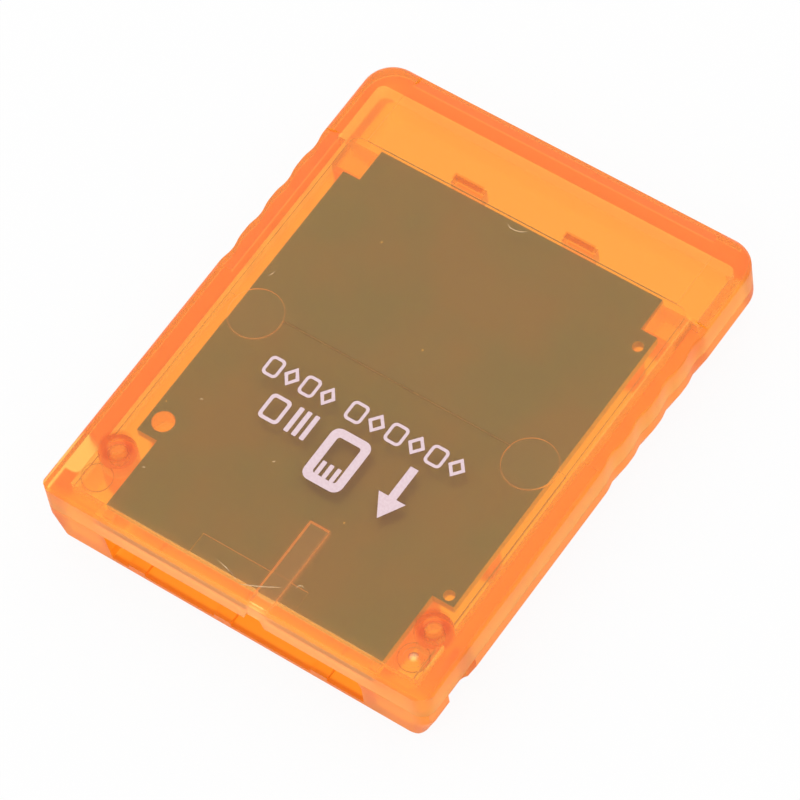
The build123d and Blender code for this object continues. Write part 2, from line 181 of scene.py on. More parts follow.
def blend(tree, mask, low, high):
    """A colour that goes from low to high as the mask goes from 0 to 1."""
    node = tree.nodes.new("ShaderNodeMix")
    node.data_type = "RGBA"
    tree.links.new(mask, node.inputs[mix_factor])
    for index, value in ((mix_low, low), (mix_high, high)):
        feed(tree, node.inputs[index], (*value, 1.0) if isinstance(value, tuple) else value)
    return node.outputs[mix_result]


def ramp(tree, value, start, stop, low=0.0, high=1.0):
    """Goes from low to high while the value goes from start to stop, and stays level outside."""
    node = add_node(tree, "ShaderNodeMapRange", Value=value, From_Min=start, From_Max=stop)
    set_inputs(tree, node, {"To Min": low, "To Max": high})
    return node.outputs["Result"]


print("colour sockets of a Mix node", mix_low, mix_high)


# %% [markdown]
# A material starts empty, with only its output. A node group holds what several materials share. The
# last helper puts a material on the model's own pieces, which are never moved or cut here.

# %% materials and node groups
def new_material(name):
    """An empty node material and its output node."""
    material = bpy.data.materials.new(name)
    material.use_nodes = True
    material.node_tree.nodes.clear()
    output = material.node_tree.nodes.new("ShaderNodeOutputMaterial")
    return material, material.node_tree, output


def new_group(name, inputs, outputs):
    """A shader node group that gives out plain values, with its input and output nodes."""
    group = bpy.data.node_groups.new(name, "ShaderNodeTree")
    for label, value in inputs.items():
        kind = "NodeSocketVector" if isinstance(value, tuple) else "NodeSocketFloat"
        group.interface.new_socket(label, in_out="INPUT", socket_type=kind).default_value = value
    for label in outputs:
        group.interface.new_socket(label, in_out="OUTPUT", socket_type="NodeSocketFloat")
    return group, group.nodes.new("NodeGroupInput"), group.nodes.new("NodeGroupOutput")


def dress(material, *names):
    """Puts a material on the slots of CAD nodes."""
    for name in names:
        for slot in nodes[name].material_slots:
            slot.link = "OBJECT"
            slot.material = material
    print(material.name, "on", len(names), "nodes")


print("pieces to dress", len(nodes))


# %% [markdown]
# Moulded resin, laminate and ink all have a fine even grain, only its size differs. A picture of a
# grain could be wrapped round each piece, but a noise needs no picture and has the same size on every
# face. So the grain is one node group: a noise in the piece's own coordinates, given out as a mask
# and as a height. Most of a noise lies between two middle values, and a mask spreads that part from 0
# to 1.

# %% grain shared by several finishes
noise_low = 0.35
noise_high = 0.65
grain_group, group_in, group_out = new_group("fine_grain", {"Scale": 5000.0}, ("Mask", "Height"))
place = add_node(grain_group, "ShaderNodeTexCoord").outputs["Object"]
grain_scale = group_in.outputs["Scale"]
noise = add_node(grain_group, "ShaderNodeTexNoise", Vector=place, Scale=grain_scale, Detail=2.0)
grain_mask = ramp(grain_group, noise.outputs["Fac"], noise_low, noise_high)
grain_group.links.new(grain_mask, group_out.inputs["Mask"])
grain_group.links.new(noise.outputs["Fac"], group_out.inputs["Height"])
print("grain group with", len(grain_group.nodes), "nodes")

# %% [markdown]
# Light runs along inside a clear moulding and leaves it at the edges, so rings, grooves and bevels show as
# fine lines. Small fillets on the solids could do that, but each would need many tiny faces. A node group
# paints such a line of light instead, as a painted highlight, and the same masks also place painted shade:
# it measures how far a spot lies from a box with rounded corners, and gives a mask for the line and one for
# the inside. A box that is all corner is a circle, and a box without width is a line.

# %% edges of the moulding
flat = (0.0, 0.0, 0.0)
edge_group, group_in, group_out = new_group(
    "moulded_edge",
    {"Spot": flat, "Centre": flat, "Straight": flat, "Corner": mm, "Line Width": 0.1 * mm},
    ("Line", "Inside"),
)


def vector_node(tree, operation, first, second=flat):
    """The result of a sum, limit or length of one or two vectors."""
    node = tree.nodes.new("ShaderNodeVectorMath")
    node.operation = operation
    for socket, value in zip(node.inputs, (first, second)):
        feed(tree, socket, value)
    return node.outputs["Value" if operation == "LENGTH" else "Vector"]


offset = vector_node(edge_group, "SUBTRACT", group_in.outputs["Spot"], group_in.outputs["Centre"])
offset = vector_node(edge_group, "ABSOLUTE", offset)
beyond = vector_node(edge_group, "SUBTRACT", offset, group_in.outputs["Straight"])
beyond = vector_node(edge_group, "MAXIMUM", beyond)
distance = vector_node(edge_group, "LENGTH", beyond)
distance = math_node(edge_group, "SUBTRACT", distance, group_in.outputs["Corner"])
line_width = group_in.outputs["Line Width"]
line = ramp(edge_group, math_node(edge_group, "ABSOLUTE", distance), 0.0, line_width, 1.0, 0.0)
edge_group.links.new(line, group_out.inputs["Line"])
inside = ramp(edge_group, distance, 0.0, math_node(edge_group, "MULTIPLY", line_width, -1.0))
edge_group.links.new(inside, group_out.inputs["Inside"])
print("edge group with", len(edge_group.nodes), "nodes")


# %% [markdown]
# Three helpers use the group for what a moulding has: boxes, rings and straight lines, seen from
# above.

# %% boxes, rings and lines
def moulded_box(tree, spot, centre, half_size, corner, line_width):
    """The line and the inside of a rounded box."""
    box = use_group(tree, edge_group, Spot=spot, Centre=(*centre, 0.0), Corner=corner)
    straight = (half_size[0] - corner, half_size[1] - corner, 0.0)
    return set_inputs(tree, box, {"Straight": straight, "Line Width": line_width})


def moulded_ring(tree, spot, centre, radius, line_width):
    """The line and the inside of a circle."""
    return moulded_box(tree, spot, centre, (radius, radius), radius, line_width)


def moulded_line(tree, spot, centre, half_size, line_width):
    """A straight line."""
    return moulded_box(tree, spot, centre, half_size, 0.0, line_width).outputs["Line"]


print("masks to choose from", [item.name for item in group_out.inputs if item.name])

# %% [markdown]
# The housing is clear plastic with a dye in it. The label face and its inner side are nearly
# polished, and the mould frosts the other faces. Each face could have a material of its own, but the
# solids are whole mouldings, so the roughness follows the height and the direction of each face
# instead.

# %% frosting of the plastic
label_face = cad_high[2]
lid_inner_side = (label_face - 2.2 * mm, label_face - 1.9 * mm)
label_skin = (label_face - 0.9 * mm, label_face - 0.8 * mm)
level_faces = (0.6, 0.95)
frosted_roughness = 0.45
polished_roughness = 0.17
mould_grain = 6500.0

plastic, tree, output = new_material("clear_orange_plastic_dressed")
place = add_node(tree, "ShaderNodeTexCoord").outputs["Object"]
axes = add_node(tree, "ShaderNodeSeparateXYZ", Vector=place)
across = axes.outputs["X"]
along = axes.outputs["Y"]
height = axes.outputs["Z"]
spot = add_node(tree, "ShaderNodeCombineXYZ", X=across, Y=along).outputs["Vector"]
from_middle = math_node(tree, "ABSOLUTE", across)
paired_spot = add_node(tree, "ShaderNodeCombineXYZ", X=from_middle, Y=along).outputs["Vector"]
facing = add_node(tree, "ShaderNodeNewGeometry")
normal = add_node(tree, "ShaderNodeSeparateXYZ", Vector=facing.outputs["Normal"])
level = math_node(tree, "ABSOLUTE", normal.outputs["Z"])
in_lid = ramp(tree, height, *lid_inner_side)
on_label = ramp(tree, height, *label_skin)
under_label = math_node(tree, "SUBTRACT", in_lid, on_label)
polished = math_node(tree, "MULTIPLY", ramp(tree, level, *level_faces), in_lid)
roughness = ramp(tree, polished, 0.0, 1.0, frosted_roughness, polished_roughness)
grain = use_group(tree, grain_group, Scale=mould_grain).outputs["Mask"]
print("frosting made of", len(tree.nodes), "nodes")

# %% [markdown]
# Under the label lie two round marks, where pins pushed the warm moulding out of its mould, and the trace
# of a mould insert. The solids hold them as shallow steps, but their edges are perfectly sharp and catch no
# light, so the edge group adds a fine painted highlight along each edge. The round marks are a mirrored
# pair: they are placed for the right side, and the spot's distance from the middle serves both.

# %% painted highlights on the ejector marks
front = cad_low[1]
thick_pad_end = front + 25.8 * mm
ejector_place = (15.0 * mm, thick_pad_end - 0.67 * mm)
ejector_radius = 2.65 * mm
ejector_line = 0.11 * mm
insert_place = (0.0, front + 4.15 * mm)
insert_half_size = (5.7 * mm, 0.0)
insert_line = 0.09 * mm

# The lines of the rings and of the insert trace are painted highlights.
ejector_rings = moulded_ring(tree, paired_spot, ejector_place, ejector_radius, ejector_line)
insert_mark = moulded_line(tree, spot, insert_place, insert_half_size, insert_line)
marks = strongest(tree, [ejector_rings.outputs["Line"], insert_mark])
mark_highlight_mask = math_node(tree, "MULTIPLY", marks, under_label)
print("ejector marks in mm from the middle", round(ejector_place[0] / mm, 2))

# %% [markdown]
# The key groove lies off the middle, so the card fits its slot one way only. Its walls are steep and gather
# light, so its outline is bright and its floor a little brighter than the pad round it; both are painted
# highlights. One box of the edge group gives both masks.

# %% painted highlight of the key groove
groove_middle = (2.8 * mm, front + 5.4 * mm)
groove_half_size = (1.05 * mm, 4.7 * mm)
groove_corner = 0.35 * mm
groove_wall = 0.34 * mm
groove_floor_share = 0.22

# Outline and floor of the groove get a painted highlight.
groove = moulded_box(tree, spot, groove_middle, groove_half_size, groove_corner, groove_wall)
groove_floor = ramp(tree, groove.outputs["Inside"], 0.0, 1.0, 0.0, groove_floor_share)
groove_form = strongest(tree, [groove.outputs["Line"], groove_floor])
groove_highlight_mask = math_node(tree, "MULTIPLY", groove_form, under_label)
print("groove in the middle at mm", [round(c / mm, 2) for c in groove_middle])

# %% [markdown]
# The rear edge and the finger grips have bevels on the label side. Light leaves the plastic along them as a
# thin line. A lamp could light that line in one view, but a painted highlight from a mask holds in every
# view.

# %% painted highlights on the bevels of the rear and the grips
rear = cad_high[1]
half_width = cad_high[0]
rear_bevel_place = (0.0, rear - 1.45 * mm)
rear_bevel_half_size = (half_width - 4.5 * mm, 0.0)
grip_place = (half_width - 1.85 * mm, rear - 17.95 * mm)
grip_half_size = (0.0, 8.7 * mm)
bevel_line = 0.14 * mm

# The bevel lines are painted highlights.
rear_bevel = moulded_line(tree, spot, rear_bevel_place, rear_bevel_half_size, bevel_line)
grip_bevels = moulded_line(tree, paired_spot, grip_place, grip_half_size, bevel_line)
bevel_highlight_mask = math_node(tree, "MULTIPLY", strongest(tree, [rear_bevel, grip_bevels]), on_label)
print("bevel lines in mm wide", round(bevel_line / mm, 2))

# %% [markdown]
# The lip and the ledge at the connector end are thick and milky, and their brighter look is a painted glow.
# The dimple in the right disc gets a painted white highlight. These are areas and no fine lines, so they
# use the inside of a box or of a ring, or a line with a wide fade.

# %% painted glow of the lip and ledge, painted highlight in the dimple
ledge_middle = (0.0, front + 1.0 * mm)
ledge_half_size = (half_width, 1.3 * mm)
ledge_corner = 0.3 * mm
ledge_fade = 0.25 * mm
lip_place = (0.0, front + 0.3 * mm)
lip_half_size = (half_width, 0.0)
lip_fade = 0.75 * mm
disc_place = (17.2 * mm, front + 3.8 * mm)
dimple_highlight_radius = 0.5 * mm
dimple_highlight_fade = 0.25 * mm

# Painted glow over the ledge and the lip.
ledge = moulded_box(tree, spot, ledge_middle, ledge_half_size, ledge_corner, ledge_fade)
ledge_glow_mask = math_node(tree, "MULTIPLY", ledge.outputs["Inside"], in_lid)
lip = moulded_line(tree, spot, lip_place, lip_half_size, lip_fade)
lip_glow_mask = math_node(tree, "MULTIPLY", lip, in_lid)
# A painted white highlight in the dimple of the right disc.
dimple_highlight = moulded_ring(tree, spot, disc_place, dimple_highlight_radius, dimple_highlight_fade)
dimple_highlight_mask = math_node(tree, "MULTIPLY", dimple_highlight.outputs["Inside"], under_label)
print("masks made, nodes so far", len(tree.nodes))

# %% [markdown]
# The dye sends back red light, so the plastic seems to glow. A volume that scatters light could show this,
# but it takes many samples, so a little emission paints that glow. The painted glow is stronger in the
# places above, where it also paints their highlights, and the grain of the mould lies over the label face
# and the ledge. The painted highlight in the dimple is nearly white.

# %% painted glow and highlights of the plastic
frosted_glow = (0.27, 0.10, 0.012)
label_glow = ((0.03, 0.01, 0.004), (0.11, 0.05, 0.016))
ledge_glow = ((0.06, 0.015, 0.005), (0.24, 0.085, 0.02))
lip_glow = (0.70, 0.17, 0.01)
mark_highlight = (0.40, 0.12, 0.04)
groove_highlight = (0.50, 0.14, 0.05)
bevel_highlight = (0.30, 0.26, 0.06)
dimple_highlight_colour = (1.0, 1.0, 1.0)

# Emission paints the glow of the plastic and the highlights of its marks, groove, bevels and dimple.
glow = blend(tree, polished, frosted_glow, blend(tree, grain, *label_glow))
glow = blend(tree, ledge_glow_mask, glow, blend(tree, grain, *ledge_glow))
glow = blend(tree, lip_glow_mask, glow, lip_glow)
glow = blend(tree, mark_highlight_mask, glow, mark_highlight)
glow = blend(tree, groove_highlight_mask, glow, groove_highlight)
glow = blend(tree, bevel_highlight_mask, glow, bevel_highlight)
glow = blend(tree, dimple_highlight_mask, glow, dimple_highlight_colour)
print("glow made, nodes so far", len(tree.nodes))

# %% [markdown]
# Where the plastic is thick its tint is deeper: in the walls of the sockets that hold the pegs, and
# in the stop tabs behind the board. More dye in those places could do the same, but a tint of the
# faces is simpler to place.

# %% thick places
peg_place = (17.2 * mm, front + 6.9 * mm)
peg_radius = 0.95 * mm
peg_fade = 0.25 * mm
socket_radius = 1.8 * mm
socket_fade = 0.4 * mm
tab_place = (6.1 * mm, rear - 7.65 * mm)
tab_half_size = (1.7 * mm, 0.45 * mm)
tab_corner = 0.2 * mm

sockets = moulded_ring(tree, paired_spot, peg_place, socket_radius, socket_fade)
pegs = moulded_ring(tree, paired_spot, peg_place, peg_radius, peg_fade)
socket_walls = math_node(tree, "SUBTRACT", sockets.outputs["Inside"], pegs.outputs["Inside"])
tabs = moulded_box(tree, paired_spot, tab_place, tab_half_size, tab_corner, tab_corner)
thick_mask = strongest(tree, [socket_walls, tabs.outputs["Inside"]])
print("thick places made, nodes so far", len(tree.nodes))

# %% [markdown]
# The rims of the two discs and the end of the thicker pad are steps under the label. From above one looks
# along a step's wall, so it shows as a darker line, and that line is painted shade in the tint. The floor
# of the connector mouth lies in the shade of the board, so its tint is painted deeper too. The edge group
# gives these masks as well.

# %% painted shade of the steps and the mouth floor
disc_radius = 1.45 * mm
disc_line = 0.13 * mm
pad_end_half_size = (12.3 * mm, 0.0)
pad_end_line = 0.16 * mm
mouth_middle = (-0.1 * mm, front + 4.8 * mm)
mouth_half_size = (14.0 * mm, 4.8 * mm)
mouth_corner = 0.3 * mm
mouth_floor_top = (2.6 * mm, 2.3 * mm)

# Darker lines at the steps and a deeper mouth floor are painted shade.
discs = moulded_ring(tree, paired_spot, disc_place, disc_radius, disc_line)
pad_end = moulded_line(tree, spot, (0.0, thick_pad_end), pad_end_half_size, pad_end_line)
steps = strongest(tree, [discs.outputs["Line"], pad_end])
step_shade_mask = math_node(tree, "MULTIPLY", steps, under_label)
mouth = moulded_box(tree, spot, mouth_middle, mouth_half_size, mouth_corner, mouth_corner)
below_board = ramp(tree, height, *mouth_floor_top)
mouth_shade_mask = math_node(tree, "MULTIPLY", mouth.outputs["Inside"], below_board)
print("steps made, nodes so far", len(tree.nodes))

# %% [markdown]
# The lid is thin and looks pale, and the bottom shell looks a shade deeper. One material can serve both
# shells, because the height tells them apart. The tints of the places above are then laid over these two,
# one after the other; those of the steps and the mouth floor are painted shade.

# %% tint of the plastic
shell_joint = (label_face - 3.4 * mm, label_face - 3.0 * mm)
bottom_tint = (1.0, 0.55, 0.08)
lid_tint = (1.0, 0.83, 0.48)
painted_mouth_shade = (1.0, 0.33, 0.03)
thick_tint = (0.80, 0.38, 0.12)
painted_step_shade = (0.66, 0.46, 0.2)

tint = blend(tree, ramp(tree, height, *shell_joint), bottom_tint, lid_tint)
# The mouth floor and the step lines get painted shade.
tint = blend(tree, mouth_shade_mask, tint, painted_mouth_shade)
tint = blend(tree, thick_mask, tint, thick_tint)
tint = blend(tree, step_shade_mask, tint, painted_step_shade)
print("tint made, nodes so far", len(tree.nodes))

# %% [markdown]
# One shader joins tint, roughness and the painted glow. A flat see-through colour would be simpler, but it
# would not bend the light, so a Principled shader with transmission is used. The dye takes out blue and
# some green on the way through the walls: a Volume Absorption does that, and thick walls become deeper than
# thin ones.

# %% clear orange plastic
bending_of_light = 1.5
clear_share = 0.98
glow_strength = 0.4
dye_colour = (1.0, 0.80, 0.05, 1.0)
dye_density = 420.0

shader = add_node(
    tree,
    "ShaderNodeBsdfPrincipled",
    Base_Color=tint,
    Roughness=roughness,
    IOR=bending_of_light,
    Transmission_Weight=clear_share,
    Emission_Color=glow,
    Emission_Strength=glow_strength,
)
dye = add_node(tree, "ShaderNodeVolumeAbsorption", Color=dye_colour, Density=dye_density)
tree.links.new(shader.outputs["BSDF"], output.inputs["Surface"])
tree.links.new(dye.outputs["Volume"], output.inputs["Volume"])
dress(plastic, "top_shell", "bottom_shell")

# %% [markdown]
# The board is glass fibre laminate under a satin solder mask. Its plain side shows through the label
# face as an olive ground with a light grain, soft clouds of colour and a few bright specks of dust.
# Its cut edges show the pale core of the laminate. A photograph of a board could be laid on, but
# patterns stay sharp at any distance: the clouds are a wide noise, and the specks are a thinned
# Voronoi pattern.

# %% ground of the circuit board
cloud_scale = 130.0
board_grain = 6500.0
grain_strength = 0.3
olive = (0.19, 0.29, 0.50)
warm_olive = (0.27, 0.28, 0.45)
pale_fibre = (0.42, 0.46, 0.56)

board, tree, output = new_material("board_laminate_dressed")
place = add_node(tree, "ShaderNodeTexCoord").outputs["Object"]
clouds = add_node(tree, "ShaderNodeTexNoise", Vector=place, Scale=cloud_scale, Detail=2.0)
cloud_mask = ramp(tree, clouds.outputs["Fac"], noise_low, noise_high)
ground = blend(tree, cloud_mask, olive, warm_olive)
grain = use_group(tree, grain_group, Scale=board_grain)
light_grain = math_node(tree, "MULTIPLY", grain.outputs["Mask"], grain_strength)
grained = blend(tree, light_grain, ground, pale_fibre)
print("ground made of", len(tree.nodes), "nodes")

# %% [markdown]
# A Voronoi pattern scatters points over the board. The neighbourhood of a point is a speck, and a
# random value that each point carries leaves only some of them. The cut edges are the faces that
# stand upright.

# %% dust and cut edges of the circuit board
speck_scale = 420.0
speck_radius = 0.045
speck_choice = 0.6
upright_below = 0.5
dust = (0.85, 0.80, 0.60)
laminate_core = (0.80, 0.72, 0.42)

cells = add_node(tree, "ShaderNodeTexVoronoi", Vector=place, Scale=speck_scale)
near = math_node(tree, "LESS_THAN", cells.outputs["Distance"], speck_radius)
draw = add_node(tree, "ShaderNodeSeparateColor", Color=cells.outputs["Color"])
chosen = math_node(tree, "GREATER_THAN", draw.outputs["Red"], speck_choice)
speckled = blend(tree, math_node(tree, "MULTIPLY", near, chosen), grained, dust)
facing = add_node(tree, "ShaderNodeNewGeometry")
upward = add_node(tree, "ShaderNodeSeparateXYZ", Vector=facing.outputs["Normal"])
slope = math_node(tree, "ABSOLUTE", upward.outputs["Z"])
cut_edge = math_node(tree, "LESS_THAN", slope, upright_below)
surface = blend(tree, cut_edge, speckled, laminate_core)
shader = add_node(tree, "ShaderNodeBsdfPrincipled", Base_Color=surface, Roughness=0.5)
tree.links.new(shader.outputs["BSDF"], output.inputs["Surface"])
dress(board, "circuit_board")

# %% [markdown]
# The contacts under the board's front end are copper strips with a thin gold plating. Each time the
# card is pushed in, the slot's springs rub along them, so fine scratches run lengthwise. They could
# be cut as grooves, but they are far too fine for that. A noise that is stretched along the card
# makes them: it changes the colour and the gloss a little.

# %% gold contacts
rub_stretch = (9000.0, 300.0, 9000.0)
rub_range = (0.45, 0.65)
gold_tone = (0.90, 0.62, 0.22)
rubbed_tone = (0.97, 0.74, 0.36)
gold_roughness = (0.18, 0.36)

gold, tree, output = new_material("gold_plating_dressed")
place = add_node(tree, "ShaderNodeTexCoord").outputs["Object"]
stretched = add_node(tree, "ShaderNodeMapping", Vector=place, Scale=rub_stretch)
rubs = add_node(tree, "ShaderNodeTexNoise", Vector=stretched.outputs["Vector"], Scale=1.0, Detail=3.0)
rubbed = ramp(tree, rubs.outputs["Fac"], *rub_range)
shader = add_node(
    tree,
    "ShaderNodeBsdfPrincipled",
    Base_Color=blend(tree, rubbed, gold_tone, rubbed_tone),
    Metallic=1.0,
    Roughness=ramp(tree, rubs.outputs["Fac"], noise_low, noise_high, *gold_roughness),
)
tree.links.new(shader.outputs["BSDF"], output.inputs["Surface"])
dress(gold, *[name for name in nodes if name.startswith("contact_")])

# %% [markdown]
# The memory package is moulded from black resin filled with glass powder, which leaves a fine matt
# grain. The grain group gives a height for the bumps and a mask for the slightly paler grains, so the
# package needs no pattern of its own.

# %% memory package
resin_grain = 7000.0
resin_bump = 0.02 * mm
black_resin = (0.020, 0.020, 0.023)
pale_powder = (0.045, 0.045, 0.050)
resin_roughness = (0.52, 0.68)

package, tree, output = new_material("package_resin_dressed")
grain = use_group(tree, grain_group, Scale=resin_grain)
bumps = add_node(tree, "ShaderNodeBump", Strength=0.35, Distance=resin_bump, Height=grain.outputs["Height"])
shader = add_node(
    tree,
    "ShaderNodeBsdfPrincipled",
    Base_Color=blend(tree, grain.outputs["Mask"], black_resin, pale_powder),
    Roughness=ramp(tree, grain.outputs["Mask"], 0.0, 1.0, *resin_roughness),
    Normal=bumps.outputs["Normal"],
)
tree.links.new(shader.outputs["BSDF"], output.inputs["Surface"])
dress(package, "flash_memory")

# %% [markdown]
# The leads are tinned copper, bright but not polished. One gloss for all would look like chrome, and
# tin dulls in patches, so a wide noise changes the tone and the gloss.

# %% tinned leads
patch_scale = 900.0
bright_tin = (0.80, 0.80, 0.78)
dull_tin = (0.66, 0.66, 0.63)
tin_roughness = (0.24, 0.42)

leads, tree, output = new_material("tinned_leads_dressed")
place = add_node(tree, "ShaderNodeTexCoord").outputs["Object"]
patches = add_node(tree, "ShaderNodeTexNoise", Vector=place, Scale=patch_scale, Detail=2.0)
dulled = ramp(tree, patches.outputs["Fac"], noise_low, noise_high)
shader = add_node(
    tree,
    "ShaderNodeBsdfPrincipled",
    Base_Color=blend(tree, dulled, bright_tin, dull_tin),
    Metallic=1.0,
    Roughness=ramp(tree, dulled, 0.0, 1.0, *tin_roughness),
)
tree.links.new(shader.outputs["BSDF"], output.inputs["Surface"])
dress(leads, "flash_memory_leads")

# %% [markdown]
# A drop of black potting resin covers the controller. It flows and cures by itself, so it is glossy,
# with soft waves. The waves could be modelled, but they are very shallow: a slow noise bends the
# surface a little and makes some places duller.

# %% potting drop
wave_scale = 450.0
wave_depth = 0.15 * mm
deep_black = (0.012, 0.012, 0.014)
soft_black = (0.030, 0.029, 0.030)
drop_roughness = (0.14, 0.26)

potting, tree, output = new_material("potting_resin_dressed")
place = add_node(tree, "ShaderNodeTexCoord").outputs["Object"]
waves = add_node(tree, "ShaderNodeTexNoise", Vector=place, Scale=wave_scale, Detail=1.0)
wave_mask = ramp(tree, waves.outputs["Fac"], noise_low, noise_high)
bumps = add_node(tree, "ShaderNodeBump", Strength=0.4, Distance=wave_depth, Height=waves.outputs["Fac"])
shader = add_node(
    tree,
    "ShaderNodeBsdfPrincipled",
    Base_Color=blend(tree, wave_mask, deep_black, soft_black),
    Roughness=ramp(tree, waves.outputs["Fac"], noise_low, noise_high, *drop_roughness),
    Normal=bumps.outputs["Normal"],
)
tree.links.new(shader.outputs["BSDF"], output.inputs["Surface"])
dress(potting, "controller_cover")

# %% [markdown]
# Chip capacitors and resistors have the same tinned caps round both ends and differ only in the body
# between them. The caps could be solids of their own, but on the model each chip part is one solid.
# So the caps are a node group: it reads how far along the part a point lies, and gives a mask of the
# ends.

# %% tinned ends shared by both kinds of chip part
cap_share = 0.22
halfway = 0.5
ends_group, group_in, group_out = new_group("tinned_ends", {"Share": cap_share}, ("Mask",))
place = add_node(ends_group, "ShaderNodeTexCoord")
length = add_node(ends_group, "ShaderNodeSeparateXYZ", Vector=place.outputs["Generated"]).outputs["X"]
from_middle = math_node(ends_group, "ABSOLUTE", math_node(ends_group, "SUBTRACT", length, halfway))
cap_start = math_node(ends_group, "SUBTRACT", halfway, group_in.outputs["Share"])
caps = math_node(ends_group, "GREATER_THAN", from_middle, cap_start)
ends_group.links.new(caps, group_out.inputs["Mask"])
print("group of tinned ends with", len(ends_group.nodes), "nodes")

# %% [markdown]
# Both kinds then need one function: a grained ceramic body, tan or black, between two grained tin
# caps.

# %% chip capacitors and resistors
chip_grain = 9000.0
cap_tin = ((0.70, 0.70, 0.68), (0.80, 0.80, 0.78))
cap_roughness = 0.32
tan_ceramic = ((0.46, 0.33, 0.20), (0.57, 0.42, 0.27))
black_film = ((0.045, 0.045, 0.05), (0.08, 0.08, 0.085))


def chip_finish(name, body_tones, body_roughness):
    """A chip part's material: a grained body between two tinned ends."""
    material, tree, output = new_material(name)
    ends = use_group(tree, ends_group, Share=cap_share).outputs["Mask"]
    grain = use_group(tree, grain_group, Scale=chip_grain).outputs["Mask"]
    body = blend(tree, grain, *body_tones)
    tin = blend(tree, grain, *cap_tin)
    shader = add_node(
        tree,
        "ShaderNodeBsdfPrincipled",
        Base_Color=blend(tree, ends, body, tin),
        Metallic=ends,
        Roughness=ramp(tree, ends, 0.0, 1.0, body_roughness, cap_roughness),
    )
    tree.links.new(shader.outputs["BSDF"], output.inputs["Surface"])
    return material


capacitors = chip_finish("capacitor_ceramic_dressed", tan_ceramic, 0.5)
dress(capacitors, *[name for name in nodes if name.startswith("capacitor_")])
resistors = chip_finish("resistor_ceramic_dressed", black_film, 0.35)
dress(resistors, *[name for name in nodes if name.startswith("resistor_")])

# %% [markdown]
# The label side carries a thin screen print in a pale pink ink: a row of small marks and a few plain
# signs below it. It could be a pattern in the plastic's material, but ink lies on the plastic as a
# layer with clean edges, so each sign is a thin plate that stands just on the label face. Every
# outline is a closed loop of points: a rectangle with round corners or a diamond.

# %% outlines for the print
def rounded_loop(middle, half_size, radius, steps=5):
    """A rectangle with round corners, as points that run round it."""
    points = []
    for quarter, (side_x, side_y) in enumerate(((1, 1), (-1, 1), (-1, -1), (1, -1))):
        corner_x = middle[0] + side_x * (half_size[0] - radius)
        corner_y = middle[1] + side_y * (half_size[1] - radius)
        for step in range(steps + 1):
            angle = math.pi / 2 * (quarter + step / steps)
            points.append((corner_x + radius * math.cos(angle), corner_y + radius * math.sin(angle)))
    return points


def diamond_loop(middle, half_size):
    """A diamond that stands on one of its corners."""
    (x, y), (half_x, half_y) = middle, half_size
    return [(x + half_x, y), (x, y + half_y), (x - half_x, y), (x, y - half_y)]


print("points of a round corner", len(rounded_loop((0.0, 0.0), (mm, mm), mm)) // 4)


# %% [markdown]
# A plate fills one loop, and a frame fills the band between two loops. Both have a foot, a top and
# side walls, because a closed layer keeps its thickness in every view. A print piece joins several of
# them.

# %% plates and frames
ink_foot = label_face + 0.004 * mm
ink_top = label_face + 0.022 * mm


def plate(loop):
    """Points and faces of a thin plate that fills one loop."""
    count = len(loop)
    points = [(x, y, ink_foot) for x, y in loop] + [(x, y, ink_top) for x, y in loop]
    faces = [tuple(reversed(range(count))), tuple(range(count, 2 * count))]
    faces += [(i, (i + 1) % count, count + (i + 1) % count, count + i) for i in range(count)]
    return points, faces


def ring_band(outer, inner):
    """Points and faces of a thin frame between two loops of the same count."""
    count = len(outer)
    points = [(x, y, z) for z in (ink_foot, ink_top) for loop in (outer, inner) for x, y in loop]
    faces = []
    for i in range(count):
        j = (i + 1) % count
        faces.append((j, i, count + i, count + j))
        faces.append((2 * count + i, 2 * count + j, 3 * count + j, 3 * count + i))
        faces.append((i, j, 2 * count + j, 2 * count + i))
        faces.append((count + j, count + i, 3 * count + i, 3 * count + j))
    return points, faces


def label_piece(name, shapes, material):
    """One piece on the label face, joined from plates and frames."""
    points, faces = [], []
    for shape_points, shape_faces in shapes:
        first = len(points)
        points += shape_points
        faces += [tuple(first + index for index in face) for face in shape_faces]
    mesh = bpy.data.meshes.new(name)
    mesh.from_pydata(points, [], faces)
    mesh.materials.append(material)
    piece = bpy.data.objects.new(name, mesh)
    scene.collection.objects.link(piece)
    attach(piece, "root")
    return piece


print("ink layer in mm", round((ink_top - ink_foot) / mm, 3))

# %% [markdown]
# The ink is slightly uneven, as screen print is: the mesh of the screen leaves a fine grain and paler
# places. The grain group serves here too, in a coarser size.

# %% pale ink
ink_grain = 4000.0
ink_tones = ((0.80, 0.60, 0.64), (0.86, 0.67, 0.71))
ink_roughness = (0.45, 0.6)

ink, tree, output = new_material("label_ink_dressed")
grain = use_group(tree, grain_group, Scale=ink_grain)
shader = add_node(
    tree,
    "ShaderNodeBsdfPrincipled",
    Base_Color=blend(tree, grain.outputs["Mask"], *ink_tones),
    Roughness=ramp(tree, grain.outputs["Mask"], 0.0, 1.0, *ink_roughness),
)
tree.links.new(shader.outputs["BSDF"], output.inputs["Surface"])
print("ink made of", len(tree.nodes), "nodes")

# %% [markdown]
# The row holds ten small marks, four and six with a gap between, frames and diamonds by turns. Each
# could be drawn by hand, but they stand at even steps, so a loop places them.

# %% row of marks
stroke = 0.3 * mm
row_y = -5.97 * mm
mark_half_height = 1.07 * mm
mark_width_share = 0.42
mark_corner = 0.5 * mm
mark_inner_corner = 0.25 * mm
diamond_strokes = (1.4, 1.6)
row_parts = ((-10.9 * mm, -3.0 * mm, 4), (-1.9 * mm, 11.1 * mm, 6))

